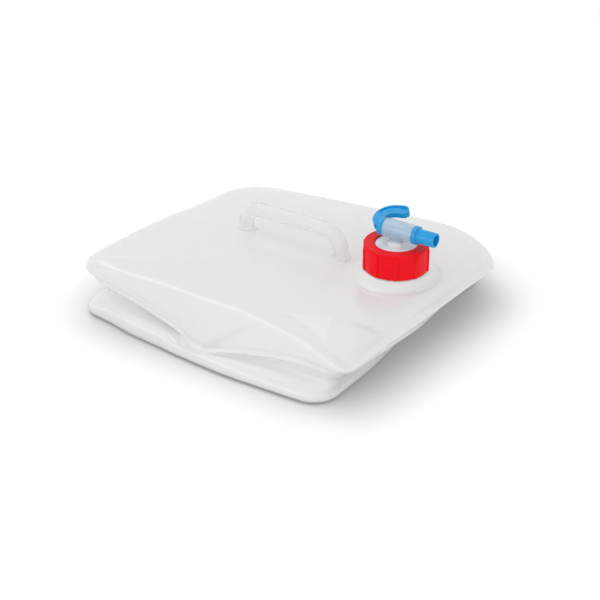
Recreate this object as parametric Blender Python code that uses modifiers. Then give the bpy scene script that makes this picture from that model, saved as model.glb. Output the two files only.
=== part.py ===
# Collapsible water carrier, folded flat, with a screw-on tap. Metres, +Z up.
# The origin is on the floor under the middle of the bag. +X runs from the carrying handle to the filler neck.
# The bag's corners go round as front left, front right, back right, back left, with the front at -Y.

import math

import bmesh
import bpy
from mathutils import Matrix, Vector

# Bag film and folds
bag_width = 0.270
film = 0.0009
seam_gap = 0.0005
corner_gap = 0.0016
seat_gap = 0.0003
lip = 0.0040
shoulder_inset = 0.0085
shoulder_drop = 0.0012
crown = 0.0055
foot_inset = 0.0050
rim_belly = 0.0014
rim_belly_height = 0.0045

# Heights of the creases over the floor: at the four corners, and half way along the four sides
crease_heights = (0.0500, 0.0405, 0.0310, 0.0290)
crease_middle_heights = (0.0510, 0.0340, 0.0320, 0.0395)
fold_heights = (0.0360, 0.0260, 0.0220, 0.0220)
fold_low_height = 0.0140
rim_heights = (0.0105, 0.0075, 0.0085, 0.0090)

# Corner places as shares of the bag's width, and corner roundings
crease_corner_shares = ((-0.466, -0.484), (0.502, -0.534), (0.538, 0.482), (-0.516, 0.418))
fold_corner_shares = ((-0.462, -0.466), (0.466, -0.508), (0.470, 0.430), (-0.490, 0.400))
rim_corner_shares = ((-0.482, -0.472), (0.415, -0.536), (0.446, 0.436), (-0.478, 0.412))
tuck_corner_shares = ((-0.424, -0.421), (0.392, -0.474), (0.410, 0.385), (-0.436, 0.358))
crease_roundings = (0.016, 0.013, 0.080, 0.034)
fold_roundings = (0.016, 0.014, 0.045, 0.030)
rim_roundings = (0.012, 0.020, 0.036, 0.026)
tuck_roundings = (0.009, 0.009, 0.028, 0.018)

# How far each side bows out at its middle, as shares of the bag's width
crease_bow_shares = (-0.038, 0.0, 0.012, 0.010)
fold_bow_shares = (0.014, 0.0, 0.0, 0.0)
rim_bow_shares = (0.034, -0.016, 0.0, 0.0)
tuck_bow_shares = (-0.055, -0.055, -0.055, -0.055)

# Where the low point of each side's folded crease lies, as a share of that side
fold_low_shares = (0.41, 0.50, 0.55, 0.50)

# Fineness of the bag's surfaces
side_steps = 12
corner_steps = 4
panel_steps = 5

# Filler neck on its boss, with the boss's foot as the top panel's height there
neck_inset = 0.0438
neck_bore_radius = 0.0170
neck_radius = 0.0200
neck_height = 0.0161
panel_height = 0.0445
boss_rise = 0.0057
boss_top_radius = 0.0275
boss_foot_radius = 0.0330
thread_pitch = 0.0050
thread_wire_radius = 0.0012
thread_turns = 2.0
thread_start = 0.0040
thread_clearance = 0.0007

# Carrying handle
handle_to_neck = 0.0517
handle_span = 0.0950
handle_bar_radius = 0.0062
handle_rise = 0.0230
handle_bend_radius = 0.0160
handle_flare_share = 1.25

# Ring nut
ring_foot_clearance = 0.0018
ring_wall = 0.0044
ring_rib_rise = 0.0009
ring_rib_count = 10
ring_rib_width = 0.0026
ring_rib_turn = math.radians(12.0)
ring_shoulder = 0.0022
ring_top_thickness = 0.0026
ring_hole_radius = 0.01735
ring_edge = 0.0006

# Gasket
gasket_thickness = 0.0016
gasket_inset = 0.0004

# Tap body
flange_thickness = 0.0020
flange_clearance = 0.0006
disc_recess = 0.0011
disc_clearance = 0.0005
barrel_radius = 0.0076
barrel_bore_radius = 0.0055
barrel_left = 0.0100
barrel_right = 0.0162
barrel_lift = 0.0105
port_radius = 0.0058
port_bore_radius = 0.0030
inlet_length = 0.0060

# Tap spindle
spindle_clearance = 0.0003
hub_length = 0.0046
hub_radius = 0.0074
collar_length = 0.0029
collar_radius = 0.0075
spout_radius = 0.0059
spout_bore_radius = 0.0045
spout_length = 0.0158
spout_edge = 0.0004
plug_bore_radius = 0.0034
plug_bore_end = 0.0060
window_radius = 0.0030
lever_lean = math.radians(20.0)
lever_reach = 0.0260
lever_half_width = 0.0048
lever_thickness = 0.0048
lever_rim = 0.0015
lever_recess = 0.0009
lever_path_shares = ((-0.60, 0.02), (-0.73, 0.13), (-0.78, 0.34), (-0.71, 0.53), (-0.59, 0.65), (-0.45, 0.715),
                     (-0.30, 0.762), (-0.19, 0.775))

# Overrun of every cut past the faces that it goes through
overrun = 0.0010

# Distance within which a mesh's doubled points are welded
weld_distance = 0.00001

# Facets of the round pieces, and steps along bends, the lever's tip and its path
facets = 48
small_facets = 24
bend_steps = 5
tip_steps = 6
path_steps = 3
lever_recess_first = 7


def clear_scene():
    for item in list(bpy.data.objects):
        bpy.data.objects.remove(item, do_unlink=True)


def new_collection(name):
    group = bpy.data.collections.new(name)
    bpy.context.scene.collection.children.link(group)
    return group


def new_material(name, colour, roughness, alpha):
    material = bpy.data.materials.new(name)
    material.use_nodes = True
    shader = material.node_tree.nodes["Principled BSDF"]
    shader.inputs["Base Color"].default_value = (*colour, 1.0)
    shader.inputs["Roughness"].default_value = roughness
    shader.inputs["Metallic"].default_value = 0.0
    shader.inputs["Alpha"].default_value = alpha
    return material


def add_object(name, mesh, collection, material):
    item = bpy.data.objects.new(name, mesh)
    collection.objects.link(item)
    if material:
        mesh.materials.clear()
        mesh.materials.append(material)
    return item


def finish_mesh(shape, name):
    bmesh.ops.recalc_face_normals(shape, faces=shape.faces)
    mesh = bpy.data.meshes.new(name)
    shape.to_mesh(mesh)
    shape.free()
    mesh.shade_smooth()
    mesh.set_sharp_from_angle(angle=math.radians(35.0))
    return mesh


def blend(a, b, amount):
    return a + (b - a) * amount


def ease(amount):
    return amount * amount * (3.0 - 2.0 * amount)


def step_towards(start, end, distance):
    span = (end - start).length
    return start.lerp(end, min(distance / span, 0.5))


# The bag's film: loops round the bag, from the top panel's edge down to the floor

def loop_points(corner_shares, roundings, bow_shares, height_at):
    """Points round the bag at one crease. height_at gives the height from the side's number and the share along it."""
    corners = [Vector((x * bag_width, y * bag_width, 0.0)) for x, y in corner_shares]
    points = []
    for number in range(4):
        corner = corners[number]
        before = corners[number - 1]
        after = corners[(number + 1) % 4]
        rounding = roundings[number]
        arc_start = corner + (before - corner).normalized() * rounding
        arc_end = corner + (after - corner).normalized() * rounding
        for step in range(corner_steps):
            t = step / corner_steps
            point = arc_start.lerp(corner, t).lerp(corner.lerp(arc_end, t), t)
            if t < 0.5:
                share = 1.0 - rounding * (1.0 - 2.0 * t) / (corner - before).length
                point.z = height_at(number - 1, share)
            else:
                share = rounding * (2.0 * t - 1.0) / (after - corner).length
                point.z = height_at(number, share)
            points.append(point)
        side_end = after + (corner - after).normalized() * roundings[(number + 1) % 4]
        outward = (after - corner).cross(Vector((0, 0, 1))).normalized()
        for step in range(side_steps):
            t = step / side_steps
            point = arc_end.lerp(side_end, t)
            point += outward * bow_shares[number] * bag_width * 4.0 * t * (1.0 - t)
            share = (point - corner).dot((after - corner).normalized()) / (after - corner).length
            point.z = height_at(number, share)
            points.append(point)
    return points


def crease_height(number, share):
    first = crease_heights[number]
    last = crease_heights[(number + 1) % 4]
    middle = crease_middle_heights[number]
    if share < 0.5:
        return blend(first, middle, ease(share * 2.0))
    return blend(middle, last, ease(share * 2.0 - 1.0))


def fold_height(number, share):
    low_share = fold_low_shares[number]
    if share < low_share:
        return blend(fold_low_height, fold_heights[number], (1.0 - share / low_share) ** 0.7)
    return blend(fold_low_height, fold_heights[(number + 1) % 4], (share - low_share) / (1.0 - low_share))


def rim_height(number, share):
    return blend(rim_heights[number], rim_heights[(number + 1) % 4], share)


# The neck's place, and the boss's top
neck_x = bag_width / 2.0 - neck_inset
boss_top_height = panel_height + boss_rise

crease_loop = loop_points(crease_corner_shares, crease_roundings, crease_bow_shares, crease_height)
fold_loop = loop_points(fold_corner_shares, fold_roundings, fold_bow_shares, fold_height)
rim_loop = loop_points(rim_corner_shares, rim_roundings, rim_bow_shares, rim_height)
column_count = len(crease_loop)
columns_per_side = side_steps + corner_steps


def inward(loop, index):
    ahead = loop[(index + 1) % len(loop)]
    behind = loop[index - 1]
    along = Vector((ahead.x - behind.x, ahead.y - behind.y, 0.0)).normalized()
    return Vector((-along.y, along.x, 0.0))


def no_height(number, share):
    return 0.0


tuck_loop = loop_points(tuck_corner_shares, tuck_roundings, tuck_bow_shares, no_height)
for tuck, fold, rim in zip(tuck_loop, fold_loop, rim_loop):
    tuck.z = (fold.z + rim.z) / 2.0


def panel_column(index):
    """The top panel along one column, from the neck's bore out over the edge and down the lip."""
    centre = Vector((neck_x, 0.0, 0.0))
    crease = crease_loop[index]
    inner = crease + inward(crease_loop, index) * shoulder_inset
    shoulder = Vector((inner.x, inner.y, crease.z + shoulder_drop))
    direction = Vector((shoulder.x - centre.x, shoulder.y - centre.y, 0.0)).normalized()
    points = []
    for radius, height in ((neck_bore_radius, boss_top_height), (boss_top_radius, boss_top_height),
                           (boss_foot_radius, panel_height)):
        point = centre + direction * radius
        point.z = height
        points.append(point)
    foot = points[-1]
    span = (shoulder - foot).length
    for step in range(1, panel_steps + 1):
        t = step / panel_steps
        point = foot.lerp(shoulder, t)
        point.z += crown * span / bag_width * 4.0 * t * (1.0 - t)
        points.append(point)
    points.append(Vector((blend(shoulder.x, crease.x, 0.72), blend(shoulder.y, crease.y, 0.72),
                          blend(shoulder.z, crease.z, 0.35))))
    points.append(crease.copy())
    points.append(step_towards(crease, fold_loop[index], lip))
    return points


def wall_column(index):
    """One column of a side wall: from under the top panel's lip, round the fold and the tuck, to the rim's lip."""
    crease = crease_loop[index]
    fold = fold_loop[index]
    tuck = tuck_loop[index]
    rim = rim_loop[index]
    start = step_towards(crease, fold, lip + seam_gap)
    end = step_towards(rim, tuck, lip + seam_gap)
    return [start, start.lerp(fold, 0.5), fold, fold.lerp(tuck, 0.5), tuck, tuck.lerp(end, 0.5), end]


def bottom_column(index):
    """The bottom panel along one column: the rim's lip, the rim, its rounded belly and the flat foot."""
    rim = rim_loop[index]
    turn = inward(rim_loop, index)
    belly = rim - turn * rim_belly
    belly.z = rim_belly_height
    low_belly = rim - turn * rim_belly / 2.0
    low_belly.z = rim_belly_height / 4.0
    foot = rim + turn * foot_inset
    foot.z = 0.0
    return [step_towards(rim, tuck_loop[index], lip), rim, belly, low_belly, foot]


def grid_mesh(columns, closed):
    """An open sheet through columns of points that run round the bag, closed into a ring where asked."""
    shape = bmesh.new()
    rows = [[shape.verts.new(point) for point in column] for column in columns]
    last = len(rows) if closed else len(rows) - 1
    for number in range(last):
        here = rows[number]
        there = rows[(number + 1) % len(rows)]
        for step in range(len(here) - 1):
            shape.faces.new((here[step], here[step + 1], there[step + 1], there[step]))
    return shape, rows


def sheet_object(name, columns, closed, collection, material, cap_bottom=False):
    shape, rows = grid_mesh(columns, closed)
    if cap_bottom:
        shape.faces.new([row[-1] for row in reversed(rows)])
    mesh = bpy.data.meshes.new(name)
    shape.to_mesh(mesh)
    shape.free()
    mesh.shade_smooth()
    mesh.set_sharp_from_angle(angle=math.radians(35.0))
    item = add_object(name, mesh, collection, material)
    wall = item.modifiers.new("Film", "SOLIDIFY")
    wall.thickness = film
    wall.offset = -1.0


def make_bag(collection, material):
    sheet_object("top_panel", [panel_column(i) for i in range(column_count)], True, collection, material)
    sheet_object("bottom_panel", [bottom_column(i) for i in range(column_count)], True, collection, material, True)
    for number, name in enumerate(("front_wall", "right_wall", "back_wall", "left_wall")):
        first = number * columns_per_side + corner_steps // 2
        columns = [wall_column((first + step) % column_count) for step in range(columns_per_side + 1)]
        columns[0] = [step_towards(a, b, corner_gap / 2.0) for a, b in zip(columns[0], columns[1])]
        columns[-1] = [step_towards(a, b, corner_gap / 2.0) for a, b in zip(columns[-1], columns[-2])]
        sheet_object(name, columns, False, collection, material)


# Round pieces and bars

def turned(name, profile, collection, material, steps):
    """A solid of revolution about its own Z: a closed outline of (radius, height), or one that ends on the axis."""
    shape = bmesh.new()
    points = [shape.verts.new((radius, 0.0, height)) for radius, height in profile]
    for first, second in zip(points, points[1:]):
        shape.edges.new((first, second))
    if profile[0][0] > 0.0:
        shape.edges.new((points[-1], points[0]))
    mesh = bpy.data.meshes.new(name)
    shape.to_mesh(mesh)
    shape.free()
    item = add_object(name, mesh, collection, material)
    screw = item.modifiers.new("Turn", "SCREW")
    screw.steps = steps
    screw.render_steps = steps
    screw.use_merge_vertices = True
    screw.merge_threshold = weld_distance
    return item


def cylinder(name, radius, length, matrix, segments):
    """A cutter or a boss: a cylinder centred on its matrix, along that matrix's Z."""
    shape = bmesh.new()
    bmesh.ops.create_cone(shape, cap_ends=True, segments=segments, radius1=radius, radius2=radius, depth=length)
    mesh = bpy.data.meshes.new(name)
    shape.to_mesh(mesh)
    shape.free()
    return helper(name, mesh, matrix)


def helper(name, mesh, matrix):
    item = add_object(name, mesh, cutters, None)
    item.matrix_world = matrix
    item.hide_render = True
    item.display_type = "WIRE"
    return item


def join(item, other, operation):
    modifier = item.modifiers.new(other.name, "BOOLEAN")
    modifier.operation = operation
    modifier.object = other
    modifier.solver = "EXACT"


def curve_mesh(name, curve):
    """The welded mesh of a curve with a bevel or a fill."""
    item = bpy.data.objects.new(name, curve)
    bpy.context.scene.collection.objects.link(item)
    mesh = bpy.data.meshes.new_from_object(item.evaluated_get(bpy.context.evaluated_depsgraph_get()))
    bpy.data.objects.remove(item, do_unlink=True)
    shape = bmesh.new()
    shape.from_mesh(mesh)
    bmesh.ops.remove_doubles(shape, verts=shape.verts, dist=weld_distance)
    bmesh.ops.recalc_face_normals(shape, faces=shape.faces)
    shape.to_mesh(mesh)
    shape.free()
    mesh.name = name
    return mesh


def bar_mesh(name, points, radii, radius, resolution):
    curve = bpy.data.curves.new(name, "CURVE")
    curve.dimensions = "3D"
    curve.bevel_depth = radius
    curve.bevel_resolution = resolution
    curve.use_fill_caps = True
    spline = curve.splines.new("POLY")
    spline.points.add(len(points) - 1)
    for place, point, share in zip(spline.points, points, radii):
        place.co = (*point, 1.0)
        place.radius = share
    return curve_mesh(name, curve)


def helix(radius, start, turns, phase):
    count = int(turns * small_facets)
    points = []
    for number in range(count + 1):
        angle = 2.0 * math.pi * number / small_facets
        height = start + thread_pitch * angle / (2.0 * math.pi)
        points.append((radius * math.cos(angle + phase), radius * math.sin(angle + phase), height))
    return points


def thread_mesh(name, radius, start, phase):
    """A rounded screw ridge that sinks back into its wall at both ends."""
    points = helix(radius, start, thread_turns, phase)
    radii = [1.0] * len(points)
    for number, share in enumerate((0.35, 0.7)):
        radii[number] = share
        radii[-1 - number] = share
    return bar_mesh(name, points, radii, thread_wire_radius, 1)


# Heights that the neck, the ring nut and the tap share, over the floor
neck_foot = boss_top_height + seat_gap
neck_top = neck_foot + neck_height
gasket_foot = neck_top + seat_gap
flange_foot = gasket_foot + gasket_thickness + seat_gap
flange_top = flange_foot + flange_thickness
ring_top = flange_top + seat_gap + ring_top_thickness
ring_foot = neck_foot + ring_foot_clearance
ring_root_radius = neck_radius + thread_wire_radius + thread_clearance
ring_radius = ring_root_radius + ring_wall
barrel_axis_height = ring_top + barrel_lift
along_x = Matrix.Rotation(math.pi / 2.0, 4, "Y")


def make_neck(collection, material):
    neck = turned("filler_neck", (
        (neck_radius, neck_top - neck_foot), (neck_radius, 0.0), (neck_bore_radius, 0.0),
        (neck_bore_radius, neck_top - neck_foot)), collection, material, facets)
    neck.location = (neck_x, 0.0, neck_foot)
    mesh = thread_mesh("neck_thread", neck_radius, thread_start, 0.0)
    join(neck, helper("neck_thread", mesh, Matrix.Translation(neck.location)), "UNION")
    return neck


def under_panel():
    """The space under the top panel's upper face, raised by the seat's gap, to trim what stands on the panel."""
    columns = []
    for index in range(column_count):
        points = [point + Vector((0.0, 0.0, seat_gap)) for point in panel_column(index)[:-1]]
        points.append(Vector((points[-1].x, points[-1].y, 0.0)))
        columns.append(points)
    shape, rows = grid_mesh(columns, True)
    shape.faces.new([row[0] for row in rows])
    shape.faces.new([row[-1] for row in reversed(rows)])
    return helper("under_panel", finish_mesh(shape, "under_panel"), Matrix.Identity(4))


def arc(centre, radius, start, end):
    points = []
    for number in range(bend_steps + 1):
        angle = blend(start, end, number / bend_steps)
        points.append((centre[0] + radius * math.cos(angle), 0.0, centre[1] + radius * math.sin(angle)))
    return points


def make_handle(collection, material):
    right = neck_x - handle_to_neck
    left = right - handle_span
    bend_height = panel_height + handle_rise - handle_bend_radius
    points = [(left, 0.0, rim_heights[0]), (left, 0.0, panel_height)]
    points += arc((left + handle_bend_radius, bend_height), handle_bend_radius, math.pi, math.pi / 2.0)
    points += arc((right - handle_bend_radius, bend_height), handle_bend_radius, math.pi / 2.0, 0.0)
    points += [(right, 0.0, panel_height), (right, 0.0, rim_heights[0])]
    radii = [1.0] * len(points)
    for number in (0, 1, -2, -1):
        radii[number] = handle_flare_share
    mesh = bar_mesh("carry_handle", points, radii, handle_bar_radius, 3)
    mesh.shade_smooth()
    mesh.set_sharp_from_angle(angle=math.radians(35.0))
    handle = add_object("carry_handle", mesh, collection, material)
    join(handle, under_panel(), "DIFFERENCE")
    return handle


def make_ring(collection, material):
    height = ring_top - ring_foot
    ring = turned("ring_nut", (
        (ring_radius - ring_edge, height), (ring_radius, height - ring_edge), (ring_radius, 0.0),
        (ring_root_radius, 0.0), (ring_root_radius, height - ring_top_thickness),
        (ring_hole_radius, height - ring_top_thickness), (ring_hole_radius, height)), collection, material, facets)
    ring.location = (neck_x, 0.0, ring_foot)
    rib_height = height - ring_shoulder - ring_edge
    shape = bmesh.new()
    for number in range(ring_rib_count):
        turn = Matrix.Rotation(ring_rib_turn + 2.0 * math.pi * number / ring_rib_count, 4, "Z")
        reach = ring_rib_rise + ring_wall / 2.0
        place = Matrix.Translation((ring_radius + ring_rib_rise - reach / 2.0, 0.0, ring_edge + rib_height / 2.0))
        size = Matrix.Diagonal((reach, ring_rib_width, rib_height, 1.0))
        bmesh.ops.create_cube(shape, size=1.0, matrix=turn @ place @ size)
    ribs = helper("ring_ribs", finish_mesh(shape, "ring_ribs"), Matrix.Translation(ring.location))
    join(ring, ribs, "UNION")
    mesh = thread_mesh("ring_thread", ring_root_radius, neck_foot + thread_start - ring_foot, math.pi)
    join(ring, helper("ring_thread", mesh, Matrix.Translation(ring.location)), "UNION")
    return ring


def make_gasket(collection, material):
    outer = neck_radius - gasket_inset
    inner = neck_bore_radius + gasket_inset
    gasket = turned("gasket", ((outer, gasket_thickness), (outer, 0.0), (inner, 0.0), (inner, gasket_thickness)),
                    collection, material, facets)
    gasket.location = (neck_x, 0.0, gasket_foot)
    return gasket


def make_tap_body(collection, material):
    flange_radius = ring_root_radius - flange_clearance
    disc_radius = ring_hole_radius - disc_clearance
    disc_top = ring_top - disc_recess - flange_foot
    body = turned("tap_body", (
        (0.0, disc_top), (disc_radius, disc_top), (disc_radius, flange_thickness), (flange_radius, flange_thickness),
        (flange_radius, 0.0), (port_radius, 0.0), (port_radius, -inlet_length), (0.0, -inlet_length)),
        collection, material, facets)
    body.location = (neck_x, 0.0, flange_foot)
    port_length = barrel_axis_height - ring_top + disc_recess + overrun
    port_middle = barrel_axis_height - port_length / 2.0
    port = cylinder("tap_port", port_radius, port_length,
                    Matrix.Translation((neck_x, 0.0, port_middle)), small_facets)
    barrel_middle = neck_x + (barrel_right - barrel_left) / 2.0
    barrel_length = barrel_left + barrel_right
    place = Matrix.Translation((barrel_middle, 0.0, barrel_axis_height)) @ along_x
    barrel = cylinder("tap_barrel", barrel_radius, barrel_length, place, facets)
    bore = cylinder("tap_barrel_bore", barrel_bore_radius, barrel_length + 2.0 * overrun, place, small_facets)
    inlet_foot = flange_foot - inlet_length - overrun
    inlet_middle = (barrel_axis_height + inlet_foot) / 2.0
    inlet = cylinder("tap_port_bore", port_bore_radius, barrel_axis_height - inlet_foot,
                     Matrix.Translation((neck_x, 0.0, inlet_middle)), small_facets)
    join(body, port, "UNION")
    join(body, barrel, "UNION")
    join(body, bore, "DIFFERENCE")
    join(body, inlet, "DIFFERENCE")
    return body


def lever_centreline():
    """The hooked lever's middle line, smooth through its path's points."""
    path = [Vector((x * lever_reach, y * lever_reach)) for x, y in lever_path_shares]
    points = []
    for number in range(len(path) - 1):
        before = path[max(number - 1, 0)]
        start = path[number]
        end = path[number + 1]
        after = path[min(number + 2, len(path) - 1)]
        for step in range(path_steps):
            t = step / path_steps
            points.append(0.5 * ((2.0 * start) + (end - before) * t
                                 + (2.0 * before - 5.0 * start + 4.0 * end - after) * t ** 2
                                 + (3.0 * start - before - 3.0 * end + after) * t ** 3))
    points.append(path[-1])
    return points


def lever_outline(half_width, first):
    """A band round the lever's middle line, from one of the line's points to a round free end."""
    line = lever_centreline()
    left = []
    right = []
    for number in range(first, len(line)):
        ahead = line[min(number + 1, len(line) - 1)]
        behind = line[max(number - 1, 0)]
        along = (ahead - behind).normalized()
        across = Vector((-along.y, along.x))
        left.append(line[number] + across * half_width)
        right.append(line[number] - across * half_width)
    tip = []
    for step in range(1, tip_steps):
        angle = math.pi / 2.0 - math.pi * step / tip_steps
        tip.append(line[-1] + (along * math.cos(angle) + across * math.sin(angle)) * half_width)
    return left + tip + right[::-1]


def plate_mesh(name, outline, thickness):
    curve = bpy.data.curves.new(name, "CURVE")
    curve.dimensions = "2D"
    curve.fill_mode = "BOTH"
    curve.extrude = thickness / 2.0
    spline = curve.splines.new("POLY")
    spline.points.add(len(outline) - 1)
    for place, point in zip(spline.points, outline):
        place.co = (point.x, point.y, 0.0, 1.0)
    spline.use_cyclic_u = True
    return curve_mesh(name, curve)


def make_spindle(collection, material):
    plug_radius = barrel_bore_radius - spindle_clearance
    hub_face = -barrel_left - spindle_clearance
    collar_face = barrel_right + spindle_clearance
    spout_foot = collar_face + collar_length
    mouth = spout_foot + spout_length
    place = Matrix.Translation((neck_x, 0.0, barrel_axis_height))
    spindle = turned("tap_spindle", (
        (0.0, -plug_bore_end), (plug_bore_radius, -plug_bore_end), (plug_bore_radius, collar_face),
        (spout_bore_radius, spout_foot), (spout_bore_radius, mouth), (spout_radius - spout_edge, mouth),
        (spout_radius, mouth - spout_edge), (spout_radius, spout_foot), (collar_radius, spout_foot),
        (collar_radius, collar_face), (plug_radius, collar_face), (plug_radius, hub_face), (hub_radius, hub_face),
        (hub_radius, hub_face - hub_length), (0.0, hub_face - hub_length)), collection, material, facets)
    spindle.matrix_world = place @ along_x
    leaning = place @ Matrix.Rotation(lever_lean, 4, "X")
    lever = helper("lever", plate_mesh("lever", lever_outline(lever_half_width, 0), lever_thickness), leaning)
    join(spindle, lever, "UNION")
    for name, face in (("lever_front_recess", 1.0), ("lever_back_recess", -1.0)):
        outline = lever_outline(lever_half_width - lever_rim, lever_recess_first)
        depth = lever_recess + overrun
        middle = face * (lever_thickness / 2.0 - lever_recess + depth / 2.0)
        recess = helper(name, plate_mesh(name, outline, depth), leaning @ Matrix.Translation((0.0, 0.0, middle)))
        join(spindle, recess, "DIFFERENCE")
    window_length = barrel_radius
    across = Matrix.Rotation(math.pi / 2.0, 4, "X")
    window = cylinder("plug_window", window_radius, window_length,
                      place @ across @ Matrix.Translation((0.0, 0.0, window_length / 2.0)), small_facets)
    join(spindle, window, "DIFFERENCE")
    return spindle


clear_scene()
parts = new_collection("collapsible_water_carrier")
cutters = new_collection("cutters")
milky = new_material("milky_film", (0.86, 0.87, 0.86), 0.30, 0.85)
red = new_material("red_plastic", (0.85, 0.02, 0.03), 0.38, 1.0)
blue = new_material("blue_plastic", (0.02, 0.32, 0.72), 0.30, 1.0)
clear = new_material("translucent_plastic", (0.72, 0.80, 0.88), 0.25, 0.7)
rubber = new_material("gasket_rubber", (0.80, 0.80, 0.78), 0.70, 1.0)

make_bag(parts, milky)
make_neck(parts, milky)
make_handle(parts, milky)
make_ring(parts, red)
make_gasket(parts, rubber)
make_tap_body(parts, clear)
make_spindle(parts, blue)
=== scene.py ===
"""Looks of a collapsible water carrier that lies folded flat on a white floor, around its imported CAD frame.

Metres, with +Z up. The bag's corners go round as front left, front right, back right and back left, with
the front at -Y.
"""

import math

import bmesh
import bpy
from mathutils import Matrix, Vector


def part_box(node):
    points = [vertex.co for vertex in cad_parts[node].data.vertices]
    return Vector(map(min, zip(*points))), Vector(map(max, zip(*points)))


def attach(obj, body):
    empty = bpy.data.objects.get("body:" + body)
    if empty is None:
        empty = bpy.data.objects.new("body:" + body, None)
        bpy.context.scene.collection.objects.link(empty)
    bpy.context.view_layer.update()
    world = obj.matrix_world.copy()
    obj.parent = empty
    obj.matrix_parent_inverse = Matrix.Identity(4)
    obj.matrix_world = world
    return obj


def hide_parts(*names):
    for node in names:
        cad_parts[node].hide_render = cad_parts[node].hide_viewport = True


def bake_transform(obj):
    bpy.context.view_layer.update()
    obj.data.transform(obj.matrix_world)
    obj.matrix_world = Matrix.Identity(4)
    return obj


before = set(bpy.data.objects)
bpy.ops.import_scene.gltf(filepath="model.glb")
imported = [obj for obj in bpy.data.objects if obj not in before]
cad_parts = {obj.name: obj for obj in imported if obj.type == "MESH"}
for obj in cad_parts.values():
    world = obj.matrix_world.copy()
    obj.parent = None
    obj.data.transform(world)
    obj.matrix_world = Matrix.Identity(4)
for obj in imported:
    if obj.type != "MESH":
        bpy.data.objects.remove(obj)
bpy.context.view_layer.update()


# Bag: one blow moulding of soft polyethylene film, about 0.7 mm thick and milky. Its top panel, four
# folding walls and bottom panel are one skin. Each wall folds in under a V-shaped crease from the mould.

film_thickness = 0.0007
side_columns = (104, 58, 54, 58)
corner_columns = 14

# Corners of the bag's four fold lines, from the top panel's edge down to the rim over the floor
edge_corners = ((-0.1300, -0.1313, 0.0490), (0.1345, -0.1430, 0.0365), (0.1506, 0.1291, 0.0350),
                (-0.1385, 0.1105, 0.0290))
vee_corners = ((-0.1270, -0.1290, 0.0380), (0.1270, -0.1370, 0.0300), (0.1270, 0.1150, 0.0220),
               (-0.1320, 0.1080, 0.0220))
tuck_corners = ((-0.1170, -0.1165, 0.0205), (0.1165, -0.1320, 0.0178), (0.1120, 0.1040, 0.0150),
                (-0.1200, 0.0980, 0.0155))
rim_corners = ((-0.1300, -0.1275, 0.0080), (0.1142, -0.1420, 0.0075), (0.1205, 0.1177, 0.0080),
               (-0.1290, 0.1110, 0.0090))

# Corner roundings before and after each corner, and how far each rounding reaches into its corner
edge_roundings = ((0.023, 0.018), (0.015, 0.015), (0.065, 0.0905), (0.036, 0.036))
vee_roundings = ((0.018, 0.018), (0.014, 0.014), (0.045, 0.045), (0.030, 0.030))
tuck_roundings = ((0.009, 0.009), (0.014, 0.014), (0.028, 0.028), (0.018, 0.018))
rim_roundings = ((0.012, 0.012), (0.020, 0.020), (0.036, 0.036), (0.026, 0.026))
edge_reaches = ((0.62, 0.62), (0.60, 0.60), (0.31, 0.53), (0.60, 0.60))
plain_reaches = ((0.60, 0.60), (0.60, 0.60), (0.60, 0.60), (0.60, 0.60))

# Places along each side: share of the side, inset from the line between its corners, and height
edge_sides = (
    ((0.07, 0.0015, 0.0533), (0.22, 0.0040, 0.0525), (0.30, 0.0060, 0.0530), (0.45, 0.0085, 0.0516),
     (0.60, 0.0115, 0.0506), (0.70, 0.0105, 0.0487), (0.80, 0.0085, 0.0470), (0.92, 0.0030, 0.0425)),
    ((0.30, 0.0, 0.0360), (0.60, 0.0010, 0.0345)),
    ((0.25, -0.0020, 0.0345), (0.60, -0.0030, 0.0325)),
    ((0.25, -0.0020, 0.0320), (0.50, -0.0030, 0.0400), (0.80, -0.0015, 0.0465)))
vee_sides = (
    ((0.10, 0.0020, 0.0320), (0.22, 0.0010, 0.0266), (0.32, 0.0, 0.0210), (0.39, -0.0005, 0.0165),
     (0.425, -0.0015, 0.0130), (0.445, -0.0035, 0.0112), (0.50, -0.0045, 0.0112), (0.545, -0.0040, 0.0140),
     (0.60, -0.0030, 0.0172), (0.72, -0.0015, 0.0240), (0.87, 0.0, 0.0290)),
    ((0.25, 0.0020, 0.0225), (0.44, 0.0065, 0.0150), (0.60, 0.0130, 0.0150), (0.80, 0.0100, 0.0190)),
    ((0.22, 0.0010, 0.0185), (0.50, -0.0020, 0.0130), (0.60, -0.0020, 0.0130), (0.82, 0.0010, 0.0180)),
    ((0.22, 0.0010, 0.0180), (0.44, -0.0020, 0.0130), (0.54, -0.0020, 0.0135), (0.80, 0.0010, 0.0250)))
tuck_sides = (
    ((0.10, 0.0030, 0.0215), (0.22, 0.0020, 0.0195), (0.33, -0.0010, 0.0165), (0.40, -0.0080, 0.0135),
     (0.45, -0.0160, 0.0108), (0.50, -0.0165, 0.0108), (0.57, -0.0100, 0.0120), (0.65, -0.0040, 0.0145),
     (0.76, 0.0010, 0.0170), (0.90, 0.0010, 0.0180)),
    ((0.20, 0.0025, 0.0155), (0.44, 0.0070, 0.0120), (0.60, 0.0140, 0.0120), (0.80, 0.0110, 0.0140)),
    ((0.20, 0.0030, 0.0135), (0.50, -0.0040, 0.0110), (0.60, -0.0040, 0.0110), (0.82, 0.0030, 0.0135)),
    ((0.20, 0.0030, 0.0140), (0.44, -0.0040, 0.0115), (0.54, -0.0040, 0.0115), (0.80, 0.0030, 0.0185)))
rim_sides = (
    ((0.12, -0.0020, 0.0115), (0.25, -0.0060, 0.0120), (0.37, -0.0070, 0.0115), (0.43, -0.0080, 0.0098),
     (0.60, -0.0085, 0.0098), (0.80, -0.0050, 0.0080)),
    ((0.22, 0.0004, 0.0070), (0.45, 0.0052, 0.0070), (0.70, 0.0100, 0.0072), (0.88, 0.0040, 0.0078)),
    ((0.50, -0.0010, 0.0080),),
    ((0.50, -0.0010, 0.0090),))


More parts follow.
